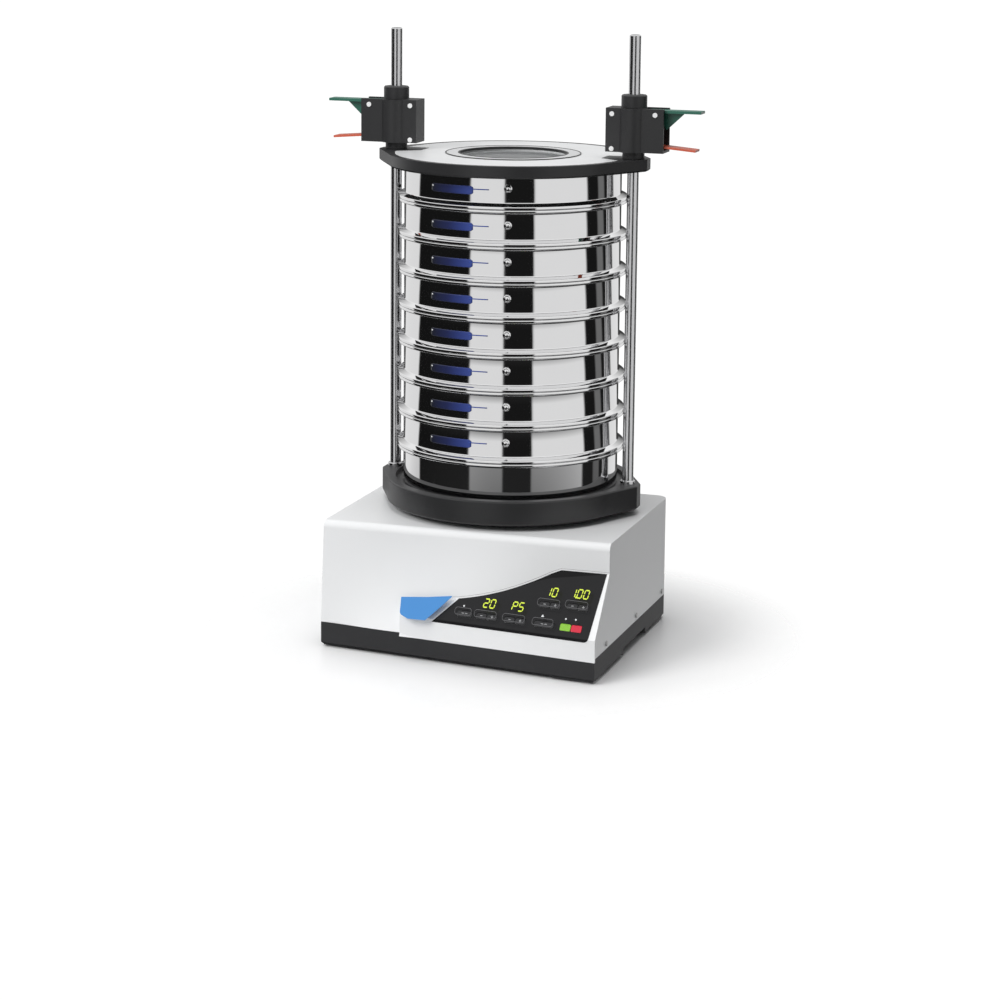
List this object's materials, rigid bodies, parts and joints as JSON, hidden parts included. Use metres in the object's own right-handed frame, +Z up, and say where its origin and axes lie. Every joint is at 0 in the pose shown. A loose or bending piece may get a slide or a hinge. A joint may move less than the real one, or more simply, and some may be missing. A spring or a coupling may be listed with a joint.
{
  "type": "sieve shaker",
  "caption": "Bench sieve shaker: low white base with slanting keypad, round black platform, stacked test sieves with pan, lid and two quick clamps on upright rods.",
  "frame": {"origin": "on the bench, under the middle of the whole machine's plan", "axes": "+Z up; -Y towards the user and the keypad; +X to the user's right"},
  "size_m": [0.548, 0.435, 0.858],
  "materials": {
    "hood_white": "smooth satin powder coat",
    "bezel_white": "glossy moulded plastic",
    "tray_charcoal": "fine grained charcoal plastic",
    "foot_rubber": "matt rubber",
    "foil_black": "satin membrane foil",
    "key_black": "embossed membrane key",
    "key_green": "embossed membrane key",
    "key_red": "embossed membrane key",
    "board_green": "solder resist",
    "screw_steel": "zinc plated",
    "cast_black": "black satin coated casting",
    "rod_chrome": "ground and plated rod",
    "sieve_steel": "mirror polished stainless steel",
    "lid_silver": "satin anodised",
    "window_clear": "clear acrylic",
    "ring_white": "smooth moulded plastic",
    "clamp_black": "fine grained black",
    "pin_white": "bright pin",
    "lever_green": "coated green",
    "brake_red": "coated orange red",
    "spring_steel": "spring steel",
    "weight_iron": "rough cast",
    "core_steel": "stacked laminations",
    "coil_copper": "enamelled winding",
    "seal_black": "matt rubber",
    "inlet_black": "matt moulded plastic"
  },
  "bodies": {
    "base": {"base_tray": "tray_charcoal", "rubber_feet": "foot_rubber", "casing": "hood_white", "front_bezel": "bezel_white", "keypad_foil": "foil_black", "control_board": "board_green", "hood_screws": "screw_steel", "counter_weight": "weight_iron", "magnet_core": "core_steel", "magnet_coil": "coil_copper", "drive_springs": "spring_steel", "bellows_seal": "seal_black", "mains_inlet": "inlet_black"},
    "platform": {"sieving_platform": "cast_black", "clamping_rods": "rod_chrome", "rod_nuts": "rod_chrome", "armature": "core_steel"},
    "pan": {"receiving_pan": "sieve_steel"},
    "sieve_8_body": {"sieve_8": "sieve_steel"},
    "sieve_7_body": {"sieve_7": "sieve_steel"},
    "sieve_6_body": {"sieve_6": "sieve_steel"},
    "sieve_5_body": {"sieve_5": "sieve_steel"},
    "sieve_4_body": {"sieve_4": "sieve_steel"},
    "sieve_3_body": {"sieve_3": "sieve_steel"},
    "sieve_2_body": {"sieve_2": "sieve_steel"},
    "sieve_1_body": {"sieve_1": "sieve_steel"},
    "lid": {"lid_casting": "cast_black", "lid_plate": "lid_silver", "lid_window": "window_clear", "window_ring": "ring_white"},
    "left_clamp": {"clamp_left_back_shell": "clamp_black", "clamp_left_front_cover": "clamp_black", "clamp_left_bushes": "clamp_black", "clamp_left_pins": "pin_white", "clamp_left_spring": "spring_steel"},
    "left_lever": {"clamp_left_lever": "lever_green"},
    "left_drive_plate": {"clamp_left_drive_plate": "spring_steel"},
    "left_brake_plate": {"clamp_left_brake_plate": "brake_red"},
    "right_clamp": {"clamp_right_back_shell": "clamp_black", "clamp_right_front_cover": "clamp_black", "clamp_right_bushes": "clamp_black", "clamp_right_pins": "pin_white", "clamp_right_spring": "spring_steel"},
    "right_lever": {"clamp_right_lever": "lever_green"},
    "right_drive_plate": {"clamp_right_drive_plate": "spring_steel"},
    "right_brake_plate": {"clamp_right_brake_plate": "brake_red"},
    "select_key_body": {"select_key": "key_black"},
    "recall_key_body": {"recall_key": "key_black"},
    "start_key_body": {"start_key": "key_green"},
    "stop_key_body": {"stop_key": "key_red"},
    "time_minus_key_body": {"time_minus_key": "key_black"},
    "time_plus_key_body": {"time_plus_key": "key_black"},
    "program_minus_key_body": {"program_minus_key": "key_black"},
    "program_plus_key_body": {"program_plus_key": "key_black"},
    "interval_minus_key_body": {"interval_minus_key": "key_black"},
    "interval_plus_key_body": {"interval_plus_key": "key_black"},
    "amplitude_minus_key_body": {"amplitude_minus_key": "key_black"},
    "amplitude_plus_key_body": {"amplitude_plus_key": "key_black"},
    "rocker": {"mains_rocker": "inlet_black"},
    "fuse_holder": {"fuse_drawer": "inlet_black"}
  },
  "joints": [
    {"name": "platform_throw", "type": "slide", "parent": "base", "child": "platform", "axis": [0, 0, 1], "range_m": [-0.0015, 0.0015], "stiffness_N_per_m": 1000000, "springref_m": 0.00037, "deforming": ["drive_springs", "bellows_seal"]},
    {"name": "pan_lift", "type": "slide", "parent": "platform", "child": "pan", "axis": [0, 0, 1], "range_m": [0, 0.04]},
    {"name": "sieve_8_lift", "type": "slide", "parent": "pan", "child": "sieve_8_body", "axis": [0, 0, 1], "range_m": [0, 0.04]},
    {"name": "sieve_7_lift", "type": "slide", "parent": "sieve_8_body", "child": "sieve_7_body", "axis": [0, 0, 1], "range_m": [0, 0.04]},
    {"name": "sieve_6_lift", "type": "slide", "parent": "sieve_7_body", "child": "sieve_6_body", "axis": [0, 0, 1], "range_m": [0, 0.04]},
    {"name": "sieve_5_lift", "type": "slide", "parent": "sieve_6_body", "child": "sieve_5_body", "axis": [0, 0, 1], "range_m": [0, 0.04]},
    {"name": "sieve_4_lift", "type": "slide", "parent": "sieve_5_body", "child": "sieve_4_body", "axis": [0, 0, 1], "range_m": [0, 0.04]},
    {"name": "sieve_3_lift", "type": "slide", "parent": "sieve_4_body", "child": "sieve_3_body", "axis": [0, 0, 1], "range_m": [0, 0.04]},
    {"name": "sieve_2_lift", "type": "slide", "parent": "sieve_3_body", "child": "sieve_2_body", "axis": [0, 0, 1], "range_m": [0, 0.04]},
    {"name": "sieve_1_lift", "type": "slide", "parent": "sieve_2_body", "child": "sieve_1_body", "axis": [0, 0, 1], "range_m": [0, 0.04]},
    {"name": "lid_lift", "type": "slide", "parent": "sieve_1_body", "child": "lid", "axis": [0, 0, 1], "range_m": [0, 0.08]},
    {"name": "left_clamp_slide", "type": "slide", "parent": "lid", "child": "left_clamp", "axis": [0, 0, 1], "range_m": [0, 0.16]},
    {"name": "left_lever_press", "type": "hinge", "parent": "left_clamp", "child": "left_lever", "pos_m": [-0.2105, 0.0405, 0.7493], "axis": [0, -1, 0], "range_deg": [0, 15], "stiffness_Nm_per_rad": 0.4, "springref_deg": -17.19},
    {"name": "left_drive_tilt", "type": "hinge", "parent": "left_clamp", "child": "left_drive_plate", "pos_m": [-0.1433, 0.0405, 0.7438], "axis": [0, 1, 0], "range_deg": [0, 7]},
    {"name": "left_brake_release", "type": "hinge", "parent": "left_clamp", "child": "left_brake_plate", "pos_m": [-0.1433, 0.0405, 0.7109], "axis": [0, 1, 0], "range_deg": [0, 5], "stiffness_Nm_per_rad": 0.4, "springref_deg": -17.19, "deforming": ["clamp_left_spring"]},
    {"name": "right_clamp_slide", "type": "slide", "parent": "lid", "child": "right_clamp", "axis": [0, 0, 1], "range_m": [0, 0.16]},
    {"name": "right_lever_press", "type": "hinge", "parent": "right_clamp", "child": "right_lever", "pos_m": [0.2105, 0.0405, 0.7493], "axis": [0, 1, 0], "range_deg": [0, 15], "stiffness_Nm_per_rad": 0.4, "springref_deg": -17.19},
    {"name": "right_drive_tilt", "type": "hinge", "parent": "right_clamp", "child": "right_drive_plate", "pos_m": [0.1433, 0.0405, 0.7438], "axis": [0, -1, 0], "range_deg": [0, 7]},
    {"name": "right_brake_release", "type": "hinge", "parent": "right_clamp", "child": "right_brake_plate", "pos_m": [0.1433, 0.0405, 0.7109], "axis": [0, -1, 0], "range_deg": [0, 5], "stiffness_Nm_per_rad": 0.4, "springref_deg": -17.19, "deforming": ["clamp_right_spring"]},
    {"name": "select_key_press", "type": "slide", "parent": "base", "child": "select_key_body", "axis": [0.0996, 0.7415, -0.6635], "range_m": [0, 0.0005], "stiffness_N_per_m": 400, "springref_m": -0.001},
    {"name": "recall_key_press", "type": "slide", "parent": "base", "child": "recall_key_body", "axis": [0.0996, 0.7415, -0.6635], "range_m": [0, 0.0005], "stiffness_N_per_m": 400, "springref_m": -0.001},
    {"name": "start_key_press", "type": "slide", "parent": "base", "child": "start_key_body", "axis": [0.0996, 0.7415, -0.6635], "range_m": [0, 0.0005], "stiffness_N_per_m": 400, "springref_m": -0.001},
    {"name": "stop_key_press", "type": "slide", "parent": "base", "child": "stop_key_body", "axis": [0.0996, 0.7415, -0.6635], "range_m": [0, 0.0005], "stiffness_N_per_m": 400, "springref_m": -0.001},
    {"name": "time_minus_key_press", "type": "slide", "parent": "base", "child": "time_minus_key_body", "axis": [0.0996, 0.7415, -0.6635], "range_m": [0, 0.0005], "stiffness_N_per_m": 400, "springref_m": -0.001},
    {"name": "time_plus_key_press", "type": "slide", "parent": "base", "child": "time_plus_key_body", "axis": [0.0996, 0.7415, -0.6635], "range_m": [0, 0.0005], "stiffness_N_per_m": 400, "springref_m": -0.001},
    {"name": "program_minus_key_press", "type": "slide", "parent": "base", "child": "program_minus_key_body", "axis": [0.0996, 0.7415, -0.6635], "range_m": [0, 0.0005], "stiffness_N_per_m": 400, "springref_m": -0.001},
    {"name": "program_plus_key_press", "type": "slide", "parent": "base", "child": "program_plus_key_body", "axis": [0.0996, 0.7415, -0.6635], "range_m": [0, 0.0005], "stiffness_N_per_m": 400, "springref_m": -0.001},
    {"name": "interval_minus_key_press", "type": "slide", "parent": "base", "child": "interval_minus_key_body", "axis": [0.0996, 0.7415, -0.6635], "range_m": [0, 0.0005], "stiffness_N_per_m": 400, "springref_m": -0.001},
    {"name": "interval_plus_key_press", "type": "slide", "parent": "base", "child": "interval_plus_key_body", "axis": [0.0996, 0.7415, -0.6635], "range_m": [0, 0.0005], "stiffness_N_per_m": 400, "springref_m": -0.001},
    {"name": "amplitude_minus_key_press", "type": "slide", "parent": "base", "child": "amplitude_minus_key_body", "axis": [0.0996, 0.7415, -0.6635], "range_m": [0, 0.0005], "stiffness_N_per_m": 400, "springref_m": -0.001},
    {"name": "amplitude_plus_key_press", "type": "slide", "parent": "base", "child": "amplitude_plus_key_body", "axis": [0.0996, 0.7415, -0.6635], "range_m": [0, 0.0005], "stiffness_N_per_m": 400, "springref_m": -0.001},
    {"name": "rocker_switch", "type": "hinge", "parent": "base", "child": "rocker", "pos_m": [-0.155, 0.1615, 0.078], "axis": [1, 0, 0], "range_deg": [0, 12]},
    {"name": "fuse_slide", "type": "slide", "parent": "base", "child": "fuse_holder", "axis": [0, 1, 0], "range_m": [0, 0.018]}
  ],
  "couplings": [
    {"joint": "left_drive_tilt", "follows": "left_lever_press", "ratio": 0.45},
    {"joint": "right_drive_tilt", "follows": "right_lever_press", "ratio": 0.45}
  ]
}
